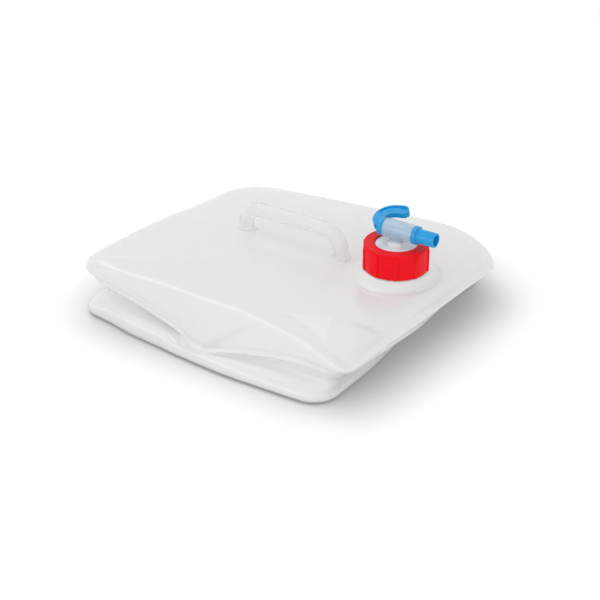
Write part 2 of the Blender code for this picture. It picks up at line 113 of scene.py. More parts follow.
def through(stations, share):
    """The value at a share through (share, value) stations, on a smooth line that overshoots none."""
    slopes = [(b[1] - a[1]) / (b[0] - a[0]) for a, b in zip(stations, stations[1:])]
    number = 0
    while number < len(slopes) - 1 and share > stations[number + 1][0]:
        number += 1
    steepness = []
    for place in (number, number + 1):
        before = slopes[max(place - 1, 0)]
        after = slopes[min(place, len(slopes) - 1)]
        steepness.append(2.0 * before * after / (before + after) if before * after > 0.0 else 0.0)
    (start, first), (end, last) = stations[number], stations[number + 1]
    span = end - start
    t = min(max((share - start) / span, 0.0), 1.0)
    return ((2 * t ** 3 - 3 * t ** 2 + 1) * first + (t ** 3 - 2 * t ** 2 + t) * span * steepness[0]
            + (3 * t ** 2 - 2 * t ** 3) * last + (t ** 3 - t ** 2) * span * steepness[1])


def fold_line(corners, roundings, reaches, sides):
    """Points round the bag along one fold line, and how far round the bag each one is, in sides."""
    flat = [Vector((x, y, 0.0)) for x, y, z in corners]
    points = []
    rounds = []
    for number in range(4):
        corner = flat[number]
        before = flat[number - 1]
        after = flat[(number + 1) % 4]
        cut_before, cut_after = roundings[number]
        arc_start = corner + (before - corner).normalized() * cut_before
        arc_end = corner + (after - corner).normalized() * cut_after
        first_pull = arc_start.lerp(corner, reaches[number][0])
        last_pull = arc_end.lerp(corner, reaches[number][1])
        side_end = after + (corner - after).normalized() * roundings[(number + 1) % 4][0]
        places = []
        for step in range(corner_columns):
            t = step / corner_columns
            place = (arc_start * (1.0 - t) ** 3 + first_pull * 3.0 * t * (1.0 - t) ** 2
                     + last_pull * 3.0 * t * t * (1.0 - t) + arc_end * t ** 3)
            if t < 0.5:
                share = 1.0 - cut_before * (1.0 - 2.0 * t) / (corner - before).length
                places.append((place, (number - 1) % 4, share))
            else:
                places.append((place, number, cut_after * (2.0 * t - 1.0) / (after - corner).length))
        for step in range(side_columns[number]):
            place = arc_end.lerp(side_end, step / side_columns[number])
            places.append((place, number, (place - corner).length / (after - corner).length))
        for place, side, share in places:
            along = (flat[(side + 1) % 4] - flat[side]).normalized()
            insets = [(0.0, 0.0)] + [(s, inset) for s, inset, z in sides[side]] + [(1.0, 0.0)]
            heights = ([(0.0, corners[side][2])] + [(s, z) for s, inset, z in sides[side]]
                       + [(1.0, corners[(side + 1) % 4][2])])
            place = place + Vector((-along.y, along.x, 0.0)) * through(insets, share)
            place.z = through(heights, share)
            points.append(place)
            rounds.append(side + share)
    return points, rounds


edge_line, edge_rounds = fold_line(edge_corners, edge_roundings, edge_reaches, edge_sides)
vee_line = fold_line(vee_corners, vee_roundings, plain_reaches, vee_sides)[0]
tuck_line = fold_line(tuck_corners, tuck_roundings, plain_reaches, tuck_sides)[0]
rim_line = fold_line(rim_corners, rim_roundings, plain_reaches, rim_sides)[0]


def outward(line, number):
    """The level direction out of the bag at one point of a fold line."""
    along = line[(number + 1) % len(line)] - line[number - 1]
    return Vector((along.y, -along.x, 0.0)).normalized()


def bell(distance, width):
    return math.exp(-(distance / width) ** 2)


def ramp(low, high, value):
    """0 below low and 1 above high, with a smooth rise between them."""
    t = min(max((value - low) / (high - low), 0.0), 1.0)
    return t * t * (3.0 - 2.0 * t)


# Neck's place on the boss, from the CAD neck, and the boss's (radius, rise) stations out from its bore
neck_low, neck_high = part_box("filler_neck")
neck_axis = Vector(((neck_low[0] + neck_high[0]) / 2.0, 0.0, 0.0))
neck_gap = 0.0003
boss_top = neck_low[2] - neck_gap
boss_profile = ((0.0172, 0.0), (0.0206, 0.0), (0.0216, 0.0008), (0.0224, 0.0015), (0.0262, 0.0016),
                (0.0272, 0.0011), (0.0282, 0.0000), (0.0294, -0.0018), (0.0308, -0.0036),
                (0.0324, -0.0049), (0.0342, -0.0056), (0.0362, -0.0058))

# Top panel: its rows, its crown, its soft swells as (x, y, height, width), and its slack waves
panel_rows = 46
panel_crown = 0.0055
panel_span = 0.270
panel_swells = ((-0.075, 0.060, -0.0012, 0.050), (0.020, -0.075, 0.0010, 0.045),
                (-0.008, 0.0, -0.0008, 0.030))
wave_height = 0.0004

# Two facets pinched into the panel by its front right corner: where they start, and their rise and slopes
pinch_start = (0.061, -0.110)
pinch_rise = 0.0026
front_slope = 0.11
edge_slope = 0.10


def hinge(value, softness):
    """0 for low values and the value itself for high ones, with a soft bend between."""
    return 0.5 * (value + math.hypot(value, softness))


def panel_height(x, y):
    """What the swells, waves and pinched facets add to the top panel's height at one place."""
    z = 0.0
    for swell_x, swell_y, height, width in panel_swells:
        z += height * bell(math.hypot(x - swell_x, y - swell_y), width)
    z += wave_height * math.sin(x * 48.0 + y * 31.0) * math.sin(y * 39.0 - x * 17.0)
    past_x, past_y = x - pinch_start[0], y - pinch_start[1]
    towards_front = past_x * 0.371 - past_y * 0.929
    towards_edge = -past_x * 0.237 - past_y * 0.972
    patch = ramp(-0.004, 0.010, towards_front) * ramp(0.050, 0.075, x)
    z += patch * (pinch_rise - front_slope * hinge(towards_front, 0.003))
    z -= ramp(0.055, 0.085, x) * edge_slope * (hinge(towards_edge - 0.001, 0.008) - 0.004)
    return z


def straight(start, end, steps, crowding=1.0):
    """The points between two ends in steps, which crowding above 1 draws closer towards the end."""
    return [start.lerp(end, 1.0 - (1.0 - step / steps) ** crowding) for step in range(1, steps)]


def rounded(before, corner, after, cut, steps):
    """A fold's rounded turn, between the points one cut away from its corner on both sides."""
    start = corner + (before - corner).normalized() * min(cut, (before - corner).length * 0.42)
    end = corner + (after - corner).normalized() * min(cut, (after - corner).length * 0.42)
    points = []
    for step in range(steps + 1):
        t = step / steps
        points.append(start.lerp(corner, t).lerp(corner.lerp(end, t), t))
    return points


def evened(values, width):
    """Each value round the bag replaced by the mean of those beside it."""
    count = len(values)
    return [sum(values[(place + step) % count] for step in range(-width, width + 1)) / (2 * width + 1)
            for place in range(count)]


for point, height in zip(edge_line, evened([point.z for point in edge_line], width=7)):
    point.z = height
crown_shares = evened([math.hypot(point.x - neck_axis.x, point.y) / panel_span for point in edge_line],
                      width=14)
slope_heights = evened(evened([point.z for point in edge_line], width=24), width=24)


# A flat facet by the front right corner, painted white in the film's colour as a highlight
painted_glint_facet = [(0.0590, -0.1090), (0.1055, -0.1235), (0.0900, -0.0915)]


def facet_side(point, start, end):
    """How far inside one side of the facet a place is, with the facet's corners going round to the left."""
    run, rise = end[0] - start[0], end[1] - start[1]
    return (run * (point.y - start[1]) - rise * (point.x - start[0])) / math.hypot(run, rise)


# Shoulder that carries the panel into its edge, and what is taken off it along the front
shoulder_inset = 0.0080
shoulder_rise = 0.0022
front_inset_less = 0.0040
front_rise_less = 0.0016

# Reach of the rounded turn at each fold, and rows round the turns, down the wall, under it and to the rim
front_edge_cut = 0.0020
plain_edge_cut = 0.0070
vee_cut = 0.0020
tuck_cut = 0.0040
rim_cut = 0.0014
edge_rows = 7
turn_rows = 6
wall_rows = 20
wall_crowding = 1.5
tuck_rows = 8
skirt_rows = 12

# Painted highlights in the film's colour along the folds, as strength and width, and on the flat facet by the
# front right corner
edge_painted_highlight = (1.0, 0.0011)
vee_painted_highlight = (0.85, 0.0016)
rim_painted_highlight = (0.95, 0.0013)
facet_painted_highlight = 0.95
faint_painted_highlight = 0.1

# How far the walls puff out. The front left corner is sharper at its edge and fuller below it
front_puff = 0.0008
plain_puff = 0.0012
middle_puff = 0.0022
skirt_puff = 0.0010
left_corner_width = 0.09
left_corner_sharpness = 0.0042
left_corner_puff = 0.0022

# Front wall: a groove beside each arm of its V, as depth, distance and width, and a leaning valley above it
fold_groove = (0.0008, 0.0040, 0.0016)
left_groove = (0.0007, 0.0085, 0.0016)
valley_x = 0.001
valley_z = 0.011
valley_lean = 1.25
valley_depth = 0.0026
valley_widths = (0.0040, 0.0110)
ripple_height = 0.0003

# Rounded rim over the floor, as (distance out from the rim line, height), and the bottom inside it
belly_place = (0.0012, 0.0038)
low_belly_place = (-0.0006, 0.0010)
foot_place = (-0.0055, 0.0)
bottom_middle = Vector((-0.004, -0.010, 0.0))
bottom_hollow = 0.0016
bottom_shares = (0.05, 0.10, 0.18, 0.30, 0.45, 0.62, 0.80, 0.93)


def skin_column(number):
    """One column of the skin as (point, painted highlight), from the neck's bore down the wall and under the
    bag.
    """
    edge, vee, tuck, rim = edge_line[number], vee_line[number], tuck_line[number], rim_line[number]
    out = outward(edge_line, number)
    along = edge_rounds[number]
    front = ramp(0.03, 0.16, along) * (1.0 - ramp(0.97, 1.18, along))
    by_left_corner = bell(min(along, 4.0 - along), left_corner_width)
    direction = Vector((edge.x - neck_axis.x, edge.y, 0.0)).normalized()
    column = [(neck_axis + direction * radius + Vector((0.0, 0.0, boss_top + rise)), 0.0)
              for radius, rise in boss_profile]
    boss_foot = column[-1][0]
    shoulder = (edge - out * (shoulder_inset - front_inset_less * front)
                + Vector((0.0, 0.0, shoulder_rise - front_rise_less * front)))
    for step in range(1, panel_rows + 1):
        t = step / panel_rows
        point = boss_foot.lerp(shoulder, t)
        fade = ramp(0.0, 0.06, t) * (1.0 - ramp(0.90, 1.0, t))
        point.z += panel_crown * crown_shares[number] * 4.0 * t * (1.0 - t)
        point.z += (slope_heights[number] - edge.z) * (t - t ** 6)
        point.z += panel_height(point.x, point.y) * fade
        # Painted highlight inside the flat facet's triangle
        facet = min(facet_side(point, start, end)
                    for start, end in zip(painted_glint_facet, painted_glint_facet[1:] + painted_glint_facet[:1]))
        column.append((point, facet_painted_highlight * ramp(-0.0012, 0.0030, facet)))
    edge_cut = (front_edge_cut * front + plain_edge_cut * (1.0 - front)
                - left_corner_sharpness * by_left_corner)
    # Painted highlight along the top edge's fold: strong along the front, faint all round
    painted_highlight = edge_painted_highlight[0] * front + faint_painted_highlight
    for point in rounded(column[-1][0], edge, vee, edge_cut, edge_rows):
        column.append((point, painted_highlight * bell((point - edge).length, edge_painted_highlight[1])))
    wall_start = column[-1][0]
    vee_turn = rounded(wall_start, vee, tuck, vee_cut, turn_rows)
    puff = front_puff if along < 1.0 else plain_puff + middle_puff * math.sin(math.pi * (along % 1.0))
    puff += left_corner_puff * by_left_corner
    for row, point in enumerate(straight(wall_start, vee_turn[0], wall_rows, wall_crowding), start=1):
        t = 1.0 - (1.0 - row / wall_rows) ** wall_crowding
        point += out * puff * math.sin(math.pi * t) ** 0.9
        if along < 1.0:
            to_fold = (point - vee).length
            on_arms = ramp(0.02, 0.10, along) * (1.0 - ramp(0.94, 0.99, along))
            on_left_arm = ramp(0.16, 0.24, along) * (1.0 - ramp(0.38, 0.42, along))
            for (depth, distance, width), share in ((fold_groove, on_arms), (left_groove, on_left_arm)):
                point -= out * depth * bell(to_fold - distance, width) * share
            aside = point.x - (valley_x + (point.z - valley_z) * valley_lean)
            depth = valley_depth * ramp(0.010, 0.013, point.z) * (1.0 - ramp(0.032, 0.046, point.z))
            point -= out * depth * bell(aside, valley_widths[0 if aside < 0.0 else 1])
        column.append((point, 0.0))
    # Painted highlight along the V's fold
    for point in vee_turn:
        column.append((point, vee_painted_highlight[0] * bell((point - vee).length, vee_painted_highlight[1])))
    tuck_turn = rounded(vee_turn[-1], tuck, rim, tuck_cut, turn_rows)
    column += [(point, 0.0) for point in straight(vee_turn[-1], tuck_turn[0], tuck_rows) + tuck_turn]
    under = []
    for distance, height in (belly_place, low_belly_place, foot_place):
        point = rim + outward(rim_line, number) * distance
        point.z = height
        under.append(point)
    belly, low_belly, foot = under
    rim_turn = rounded(tuck_turn[-1], rim, belly, rim_cut, turn_rows)
    for row, point in enumerate(straight(tuck_turn[-1], rim_turn[0], skirt_rows), start=1):
        t = row / skirt_rows
        point.z += skirt_puff * math.sin(math.pi * t)
        if 0.72 < along < 1.1:
            strength = ramp(0.72, 0.86, along) * (1.0 - ramp(1.0, 1.1, along))
            point.z += ripple_height * strength * math.sin(t * 17.0 + along * 9.0) * math.sin(math.pi * t)
        column.append((point, 0.0))
    # Painted highlight along the rim's fold, and faintly on the belly under it
    for point in rim_turn:
        column.append((point, rim_painted_highlight[0] * bell((point - rim).length, rim_painted_highlight[1])))
    for point in (rim_turn[-1].lerp(belly, 0.6), belly, belly.lerp(low_belly, 0.5), low_belly):
        column.append((point, faint_painted_highlight))
    column.append((foot, 0.0))
    for t in bottom_shares:
        point = foot.lerp(bottom_middle, t)
        point.z = bottom_hollow * ramp(0.05, 0.18, t)
        column.append((point, 0.0))
    return column


def loft(name, columns):
    """A sheet of quads through columns that run round a piece, closed by one face inside their ends."""
    shape = bmesh.new()
    rows = [[shape.verts.new(point) for point in column] for column in columns]
    for number, here in enumerate(rows):
        there = rows[(number + 1) % len(rows)]
        for step in range(len(here) - 1):
            shape.faces.new((here[step], here[step + 1], there[step + 1], there[step]))
    shape.faces.new([row[-1] for row in reversed(rows)])
    mesh = bpy.data.meshes.new(name)
    shape.to_mesh(mesh)
    shape.free()
    piece = bpy.data.objects.new(name, mesh)
    bpy.context.scene.collection.objects.link(piece)
    return piece


def select_only(piece):
    bpy.ops.object.select_all(action="DESELECT")
    piece.select_set(True)
    bpy.context.view_layer.objects.active = piece


skin_columns = [skin_column(number) for number in range(len(edge_line))]
bag = loft("bag_film", [[point for point, painted_highlight in column] for column in skin_columns])
# The skin carries its painted highlights as a point attribute for the film's colour
painted_highlight_layer = bag.data.attributes.new("painted_fold_highlight", "FLOAT", "POINT")
painted_highlight_layer.data.foreach_set("value", [painted_highlight for column in skin_columns for point, painted_highlight in column])
select_only(bag)
bpy.ops.object.modifier_add(type="SOLIDIFY")
bag.modifiers[-1].thickness = film_thickness
bag.modifiers[-1].offset = -1.0
bpy.ops.object.modifier_apply(modifier=bag.modifiers[-1].name)
bpy.ops.object.shade_smooth()


def noise_band(name, scale, detail, roughness):
    """A node group that turns Object coordinates into soft noise from 0 to 1."""
    group = bpy.data.node_groups.new(name, "ShaderNodeTree")
    group.interface.new_socket(name="Vector", in_out="INPUT", socket_type="NodeSocketVector")
    size = group.interface.new_socket(name="Scale", in_out="INPUT", socket_type="NodeSocketFloat")
    size.default_value = scale
    group.interface.new_socket(name="Value", in_out="OUTPUT", socket_type="NodeSocketFloat")
    start = group.nodes.new("NodeGroupInput")
    noise = group.nodes.new("ShaderNodeTexNoise")
    noise.inputs["Detail"].default_value = detail
    noise.inputs["Roughness"].default_value = roughness
    levels = group.nodes.new("ShaderNodeMapRange")
    levels.interpolation_type = "SMOOTHERSTEP"
    levels.inputs["From Min"].default_value = 0.2
    levels.inputs["From Max"].default_value = 0.8
    end = group.nodes.new("NodeGroupOutput")
    group.links.new(start.outputs["Vector"], noise.inputs["Vector"])
    group.links.new(start.outputs["Scale"], noise.inputs["Scale"])
    group.links.new(noise.outputs["Fac"], levels.inputs["Value"])
    group.links.new(levels.outputs["Result"], end.inputs["Value"])
    return group


soft_noise = noise_band("moulding_unevenness", scale=14.0, detail=3.0, roughness=0.55)


def place_noise(nodes, links, scale):
    """A soft_noise node on the piece's Object coordinates."""
    coordinates = nodes.new("ShaderNodeTexCoord")
    noise = nodes.new("ShaderNodeGroup")
    noise.node_tree = soft_noise
    noise.inputs["Scale"].default_value = scale
    links.new(coordinates.outputs["Object"], noise.inputs["Vector"])
    return noise.outputs["Value"]


def mixed_colour(nodes, links, share, first, second):
    mix = nodes.new("ShaderNodeMix")
    mix.data_type = "RGBA"
    for socket, colour in (("A", first), ("B", second)):
        slot = [item for item in mix.inputs if item.name == socket and item.type == "RGBA"][0]
        if isinstance(colour, tuple):
            slot.default_value = (*colour, 1.0)
        else:
            links.new(colour, slot)
    links.new(share, mix.inputs["Factor"])
    return [item for item in mix.outputs if item.type == "RGBA"][0]


def ranged(nodes, links, value, low, high):
    levels = nodes.new("ShaderNodeMapRange")
    levels.inputs["To Min"].default_value = low
    levels.inputs["To Max"].default_value = high
    links.new(value, levels.inputs["Value"])
    return levels.outputs["Result"]


def new_finish(name):
    """A new material with its nodes, its links and its shader."""
    finish = bpy.data.materials.new(name)
    finish.use_nodes = True
    nodes, links = finish.node_tree.nodes, finish.node_tree.links
    return finish, nodes, links, nodes["Principled BSDF"]


def add_bump(nodes, links, height, strength, distance):
    """Fine relief of a height mask on the piece's shader, distance deep at full strength."""
    bump = nodes.new("ShaderNodeBump")
    bump.inputs["Strength"].default_value = strength
    bump.inputs["Distance"].default_value = distance
    links.new(height, bump.inputs["Height"])
    links.new(bump.outputs["Normal"], nodes["Principled BSDF"].inputs["Normal"])


# The film's colour is mixed towards white by the folds' attribute: painted highlights along the folds and on
# the flat facet
film_shades = ((0.895, 0.905, 0.899), (0.910, 0.916, 0.911))
painted_highlight_white = (0.985, 0.99, 0.985)
film, nodes, links, shader = new_finish("milky_polyethylene_film")
cloudy = place_noise(nodes, links, 9.0)
fold = nodes.new("ShaderNodeAttribute")
fold.attribute_name = "painted_fold_highlight"
colour = mixed_colour(nodes, links, fold.outputs["Fac"], mixed_colour(nodes, links, cloudy, *film_shades),
                      painted_highlight_white)
links.new(colour, shader.inputs["Base Color"])
links.new(ranged(nodes, links, cloudy, 0.14, 0.20), shader.inputs["Roughness"])
add_bump(nodes, links, place_noise(nodes, links, 170.0), strength=0.10, distance=0.0006)
shader.inputs["IOR"].default_value = 1.50
shader.inputs["Subsurface Weight"].default_value = 0.4
shader.inputs["Subsurface Radius"].default_value = (1.0, 1.0, 1.0)
shader.inputs["Subsurface Scale"].default_value = 0.0012
bag.data.materials.append(film)

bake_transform(bag)
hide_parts("top_panel", "bottom_panel", "front_wall", "right_wall", "back_wall", "left_wall")


# Carrying handle: a hollow arch of the bag's own film, blown in one with the top panel. Its two feet flare
# into the panel, and it stands over the bag's middle line. It hinges on nothing.

handle_low, handle_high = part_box("carry_handle")
handle_bar_radius = 0.0062
handle_bend_radius = 0.0160
handle_foot_flare = 0.0016
handle_left = handle_low[0] + handle_bar_radius + handle_foot_flare
handle_right = handle_high[0] - handle_bar_radius - handle_foot_flare
handle_bar_height = handle_high[2] - handle_bar_radius
bend_height = handle_bar_height - handle_bend_radius
bar_length = handle_right - handle_left - 2.0 * handle_bend_radius
bar_steps = 6
bend_steps = 12
handle_sides = 40

# Feet, as (radius, rise over the skin). The left one is squeezed to leave the bar a least upright length
handle_foot_stations = ((0.0092, -0.0012), (0.0084, 0.0000), (0.0076, 0.0006), (0.0070, 0.0014),
                        (0.0066, 0.0026), (0.0063, 0.0040), (0.0062, 0.0052))
least_upright = 0.0006
last_panel_row = 50


def panel_top(x, y):
    """The height of the bag's skin over one place of the top panel."""
    rows = slice(len(boss_profile), last_panel_row)
    places = [point for column in skin_columns for point, painted_highlight in column[rows]]
    return min(places, key=lambda point: math.hypot(point.x - x, point.y - y)).z


def grow_ring(place, stations):
    """Extrudes the selected ring through its next (radius, height) stations round an upright axis."""
    for (radius, height), (next_radius, next_height) in zip(stations, stations[1:]):
        bpy.ops.mesh.extrude_region_move(TRANSFORM_OT_translate={"value": (0.0, 0.0, next_height - height)})
        share = next_radius / radius
        bpy.ops.transform.resize(value=(share, share, 1.0), center_override=(place[0], place[1], 0.0))


def start_ring(name, place, radius, height, sides, filled=False):
    bpy.ops.object.select_all(action="DESELECT")
    bpy.ops.mesh.primitive_circle_add(vertices=sides, radius=radius, location=(place[0], place[1], height),
                                      fill_type="NGON" if filled else "NOTHING")
    piece = bpy.context.object
    piece.name = name
    bpy.ops.object.transform_apply(location=True, rotation=True, scale=True)
    bpy.ops.object.mode_set(mode="EDIT")
    bpy.ops.mesh.select_all(action="SELECT")
    return piece


def close_up():
    """Merges the doubles of the piece in edit mode, closes its open ends and turns its faces outwards."""
    bpy.ops.mesh.select_all(action="SELECT")
    bpy.ops.mesh.remove_doubles(threshold=0.00002)
    bpy.ops.mesh.select_all(action="DESELECT")
    bpy.ops.mesh.select_mode(type="EDGE")
    bpy.ops.mesh.select_non_manifold()
    bpy.ops.mesh.fill_holes(sides=0)
    bpy.ops.mesh.select_all(action="SELECT")
    bpy.ops.mesh.normals_make_consistent(inside=False)
    bpy.ops.mesh.select_mode(type="VERT")
    bpy.ops.object.mode_set(mode="OBJECT")


def bend_over(middle_x):
    """Turns the handle's open end through a quarter circle, clockwise as seen from the front."""
    bpy.ops.mesh.spin(steps=bend_steps, angle=-math.pi / 2.0, center=(middle_x, 0.0, bend_height),
                      axis=(0.0, 1.0, 0.0))


left_foot = panel_top(handle_left, 0.0)
right_foot = panel_top(handle_right, 0.0)
left_rise = min(1.0, (bend_height - left_foot - least_upright) / handle_foot_stations[-1][1])
stations = [(radius, left_foot + rise * left_rise) for radius, rise in handle_foot_stations]
stations.append((handle_bar_radius, bend_height))
handle = start_ring("carry_handle_film", (handle_left, 0.0), *stations[0], handle_sides)
grow_ring((handle_left, 0.0), stations)
bend_over(handle_left + handle_bend_radius)
for step in range(bar_steps):
    bpy.ops.mesh.extrude_region_move(TRANSFORM_OT_translate={"value": (bar_length / bar_steps, 0.0, 0.0)})
bend_over(handle_right - handle_bend_radius)
stations = [(handle_bar_radius, bend_height)]
stations += [(radius, right_foot + rise) for radius, rise in reversed(handle_foot_stations)]
grow_ring((handle_right, 0.0), stations)
close_up()
bpy.ops.object.shade_smooth()
thin_film = film.copy()
thin_film.name = "thin_handle_film"
thin_film.node_tree.nodes["Principled BSDF"].inputs["Alpha"].default_value = 0.42
handle.data.materials.append(thin_film)
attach(handle, "top")
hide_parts("carry_handle")


# Filler neck: a thick round mouth of the same milky plastic, blown and trimmed with the bag. A screw thread
# of two turns runs round it, and its top rim is the gasket's seat.

neck_radius = 0.0200
neck_bore_radius = 0.0170
neck_foot = neck_low[2]
neck_top = neck_high[2]
neck_flare = 0.0016
thread_pitch = 0.0050
thread_radius = 0.0012
thread_turns = 2
thread_rise = 0.0040
thread_sides = 10
steps_per_turn = 60
large_sides = 96


def softened(stations, cut):
    """The stations with each corner between them cut to a small round, cut away from it on both sides."""
    points = [Vector((radius, 0.0, height)) for radius, height in stations]
    eased = [stations[0]]
    for before, corner, after in zip(points, points[1:], points[2:]):
        eased += [(point.x, point.z) for point in rounded(before, corner, after, cut, 3)]
    return eased + [stations[-1]]


def turned_piece(name, place, stations, sides, filled=False):
    """A closed piece, turned round an upright axis through (radius, height) stations."""
    piece = start_ring(name, place, *stations[0], sides, filled)
    grow_ring(place, stations)
    close_up()
    return piece


def use_modifier(piece, kind, **settings):
    select_only(piece)
    bpy.ops.object.modifier_add(type=kind)
    modifier = piece.modifiers[-1]
    for name, value in settings.items():
        setattr(modifier, name, value)
    bpy.ops.object.modifier_apply(modifier=modifier.name)


def merge_in(piece, other, operation):
    """Unites a piece with another closed one, or cuts the other out of it, and removes the other."""
    use_modifier(piece, "BOOLEAN", operation=operation, object=other, solver="EXACT")
    bpy.data.objects.remove(other, do_unlink=True)


def screw_ridge(name, place, radius, start, turns):
    """A rounded screw ridge round an upright axis, with closed ends."""
    bpy.ops.object.select_all(action="DESELECT")
    bpy.ops.mesh.primitive_circle_add(vertices=thread_sides, radius=thread_radius,
                                      location=(place[0], place[1], start),
                                      rotation=(math.pi / 2.0, 0.0, 0.0))
    ridge = bpy.context.object
    ridge.name = name
    bpy.ops.object.transform_apply(location=False, rotation=True, scale=True)
    bpy.ops.object.mode_set(mode="EDIT")
    bpy.ops.mesh.select_all(action="SELECT")
    bpy.ops.transform.translate(value=(radius, 0.0, 0.0))
    bpy.ops.object.mode_set(mode="OBJECT")
    steps = int(steps_per_turn * turns)
    use_modifier(ridge, "SCREW", angle=2.0 * math.pi * turns, screw_offset=thread_pitch * turns,
                 steps=steps, render_steps=steps, use_merge_vertices=False, axis="Z")
    bpy.ops.object.transform_apply(location=True, rotation=True, scale=True)
    bpy.ops.object.mode_set(mode="EDIT")
    close_up()
    return ridge


stations = softened(((neck_bore_radius, neck_foot), (neck_radius + neck_flare, neck_foot),
                     (neck_radius, neck_foot + neck_flare), (neck_radius, neck_top),
                     (neck_bore_radius, neck_top), (neck_bore_radius, neck_foot)), cut=0.0006)
neck = turned_piece("filler_neck_moulding", neck_axis, stations, large_sides)
thread = screw_ridge("neck_thread", neck_axis, neck_radius, neck_foot + thread_rise, thread_turns)
merge_in(neck, thread, "UNION")
bpy.ops.object.shade_smooth_by_angle(angle=math.radians(40.0))
neck.data.materials.clear()
neck.data.materials.append(film)
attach(neck, "top")
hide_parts("filler_neck")


# Gasket: a flat ring cut from soft pale rubber. It lies between the neck's rim and the tap's flange, out of
# sight until the tap is lifted.

gasket_low, gasket_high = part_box("gasket")
gasket_foot = gasket_low[2]
gasket_top = gasket_high[2]
gasket_outer = (gasket_high[0] - gasket_low[0]) / 2.0
gasket_inner = neck_bore_radius + 0.0004
stations = softened(((gasket_inner, gasket_foot), (gasket_outer, gasket_foot), (gasket_outer, gasket_top),
                     (gasket_inner, gasket_top), (gasket_inner, gasket_foot)), cut=0.0003)
gasket = turned_piece("gasket_seal", neck_axis, stations, large_sides)
bpy.ops.object.shade_smooth_by_angle(angle=math.radians(40.0))

rubber_shades = ((0.66, 0.66, 0.63), (0.78, 0.78, 0.75))
rubber, nodes, links, shader = new_finish("pale_gasket_rubber")
dusty = place_noise(nodes, links, 260.0)
links.new(mixed_colour(nodes, links, dusty, *rubber_shades), shader.inputs["Base Color"])
links.new(ranged(nodes, links, dusty, 0.62, 0.80), shader.inputs["Roughness"])
add_bump(nodes, links, dusty, strength=0.15, distance=0.0002)
gasket.data.materials.append(rubber)
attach(gasket, "tap")
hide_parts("gasket")


# Tap body: one moulding of clear plastic that looks faintly blue. A disc and flange sit on the neck under
# the ring nut, and a short port carries the barrel across them, in which the spindle turns.

tap_low, tap_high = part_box("tap_body")
tap_foot = tap_low[2]
inlet_length = 0.0060
flange_foot = tap_foot + inlet_length
flange_radius = 0.0213
flange_top = flange_foot + 0.0020
disc_radius = 0.01685
disc_top = flange_foot + 0.0038
port_radius = 0.0058
port_bore_radius = 0.0030
port_flare = 0.0018
port_flare_height = 0.0024
barrel_radius = 0.0076
barrel_bore_radius = 0.0055
barrel_left = -0.0100
barrel_right = 0.0162
barrel_height = tap_high[2] - barrel_radius
port_end = barrel_height - 0.0010
bore_overrun = 0.001
barrel_sides = 72
barrel_place = (neck_axis.x, 0.0, barrel_height)
along_barrel = (0.0, math.pi / 2.0, 0.0)


def lay(piece, place, turn):
    """Turns a piece about the origin, moves it to its place, and applies both to its mesh."""
    select_only(piece)
    piece.rotation_euler = turn
    piece.location = place
    bpy.ops.object.transform_apply(location=True, rotation=True, scale=True)


stations = softened(((port_bore_radius, tap_foot), (port_radius, tap_foot), (port_radius, flange_foot),
                     (flange_radius, flange_foot), (flange_radius, flange_top), (disc_radius, flange_top),
                     (disc_radius, disc_top), (port_radius + port_flare, disc_top),
                     (port_radius, disc_top + port_flare_height), (port_radius, port_end),
                     (port_bore_radius, port_end), (port_bore_radius, tap_foot)), cut=0.0005)
tap_body = turned_piece("tap_body_moulding", neck_axis, stations, large_sides)
stations = softened(((barrel_bore_radius, barrel_left), (barrel_radius, barrel_left),
                     (barrel_radius, barrel_right), (barrel_bore_radius, barrel_right),
                     (barrel_bore_radius, barrel_left)), cut=0.0005)
barrel = turned_piece("barrel", (0.0, 0.0), stations, barrel_sides)
lay(barrel, barrel_place, along_barrel)
merge_in(tap_body, barrel, "UNION")
stations = ((barrel_bore_radius, barrel_left - bore_overrun),
            (barrel_bore_radius, barrel_right + bore_overrun))
bore = turned_piece("barrel_bore", (0.0, 0.0), stations, barrel_sides, filled=True)
lay(bore, barrel_place, along_barrel)
merge_in(tap_body, bore, "DIFFERENCE")
bpy.ops.object.shade_smooth_by_angle(angle=math.radians(35.0))

# The disc's pale colour is tinted pink: a painted reflection of the red ring nut round it
disc_pale_painted_pink = (0.98, 0.93, 0.93)
barrel_blue = (0.48, 0.71, 0.91)
haze = (0.86, 0.88, 0.90)
clear, nodes, links, shader = new_finish("clear_tap_plastic")
coordinates = nodes.new("ShaderNodeTexCoord")
split = nodes.new("ShaderNodeSeparateXYZ")
links.new(coordinates.outputs["Object"], split.inputs["Vector"])
upwards = nodes.new("ShaderNodeMapRange")
upwards.inputs["From Min"].default_value = disc_top + 0.0010
upwards.inputs["From Max"].default_value = disc_top + 0.0045
links.new(split.outputs["Z"], upwards.inputs["Value"])
hazy = place_noise(nodes, links, 120.0)
body_colour = mixed_colour(nodes, links, upwards.outputs["Result"], disc_pale_painted_pink, barrel_blue)
hazy_colour = mixed_colour(nodes, links, ranged(nodes, links, hazy, 0.0, 0.35), body_colour, haze)
links.new(hazy_colour, shader.inputs["Base Color"])
links.new(ranged(nodes, links, upwards.outputs["Result"], 0.95, 0.66), shader.inputs["Alpha"])
links.new(ranged(nodes, links, hazy, 0.09, 0.15), shader.inputs["Roughness"])
add_bump(nodes, links, hazy, strength=0.08, distance=0.0002)
shader.inputs["IOR"].default_value = 1.50
shader.inputs["Specular IOR Level"].default_value = 1.0
tap_body.data.materials.clear()
tap_body.data.materials.append(clear)
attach(tap_body, "tap")
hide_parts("tap_body")


# Tap spindle: one blue moulding that turns in the barrel. Its hooked lever is a flat bar with a raised rim
# round a sunk web, and past the barrel its collar ends in an open spout.

